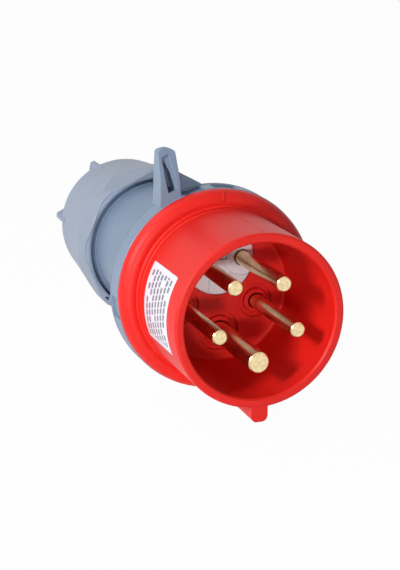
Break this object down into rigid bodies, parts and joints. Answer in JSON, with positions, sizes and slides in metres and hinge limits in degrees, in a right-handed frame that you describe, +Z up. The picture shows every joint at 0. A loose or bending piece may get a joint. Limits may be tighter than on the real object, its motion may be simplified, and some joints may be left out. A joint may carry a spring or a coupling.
{
  "type": "industrial pin and sleeve plug with phase inverter",
  "caption": "Straight industrial plug: a red keyed shroud round bare pins, a turning phase-changer disc, and a grey housing closed by a screwed cable gland nut.",
  "frame": {"origin": "centre of the shroud's open mouth, on the plug's axis", "axes": "+Y along the plug's axis from the mouth to the cable entry; +Z up, with the key rib at the bottom; +X to the right seen from the front"},
  "size_m": [0.0696, 0.1656, 0.083],
  "materials": {
    "red_plastic": "moulded red thermoplastic with a soft gloss",
    "grey_plastic": "moulded blue-grey thermoplastic, satin",
    "white_plastic": "moulded off-white thermoplastic, satin",
    "brass": "turned brass, bright with fine turning marks",
    "zinc_steel": "zinc-plated steel",
    "black_rubber": "black moulded rubber"
  },
  "bodies": {
    "plug_body": {"shroud": "red_plastic", "phase_pin_3": "brass", "neutral_pin": "brass", "earth_pin": "brass", "phase_contact_1": "brass", "phase_contact_2": "brass", "phase_screw_1": "zinc_steel", "phase_screw_2": "zinc_steel", "phase_screw_3": "zinc_steel", "neutral_screw": "zinc_steel", "earth_screw": "zinc_steel", "pin_carrier": "grey_plastic", "carrier_screw_left": "zinc_steel", "carrier_screw_right": "zinc_steel", "inverter_spring": "zinc_steel", "housing": "grey_plastic", "housing_gasket": "black_rubber", "gland_seal": "black_rubber", "clamp_claws": "white_plastic"},
    "inverter_press_body": {"inverter_washer": "zinc_steel"},
    "inverter": {"inverter_disc": "white_plastic", "phase_pin_1": "brass", "phase_pin_2": "brass"},
    "gland_slip_ring": {"slip_ring": "white_plastic"},
    "gland": {"gland_nut": "grey_plastic"}
  },
  "joints": [
    {"name": "inverter_press", "type": "slide", "parent": "plug_body", "child": "inverter_press_body", "axis": [0, 1, 0], "range_m": [0, 0.0025], "stiffness_N_per_m": 800, "springref_m": -0.002, "deforming": ["inverter_spring"]},
    {"name": "inverter_turn", "type": "hinge", "parent": "inverter_press_body", "child": "inverter", "pos_m": [0, 0.045, 0.01116], "axis": [0, 1, 0], "range_deg": [0, 180]},
    {"name": "gland_advance", "type": "slide", "parent": "plug_body", "child": "gland_slip_ring", "axis": [0, 1, 0], "range_m": [-0.003, 0.003]},
    {"name": "gland_turn", "type": "hinge", "parent": "gland_slip_ring", "child": "gland", "pos_m": [0, 0.12, 0], "axis": [0, 1, 0], "range_deg": [-360, 360]}
  ],
  "couplings": [
    {"joint": "gland_advance", "follows": "gland_turn", "m_per_rad": 0.000477}
  ]
}
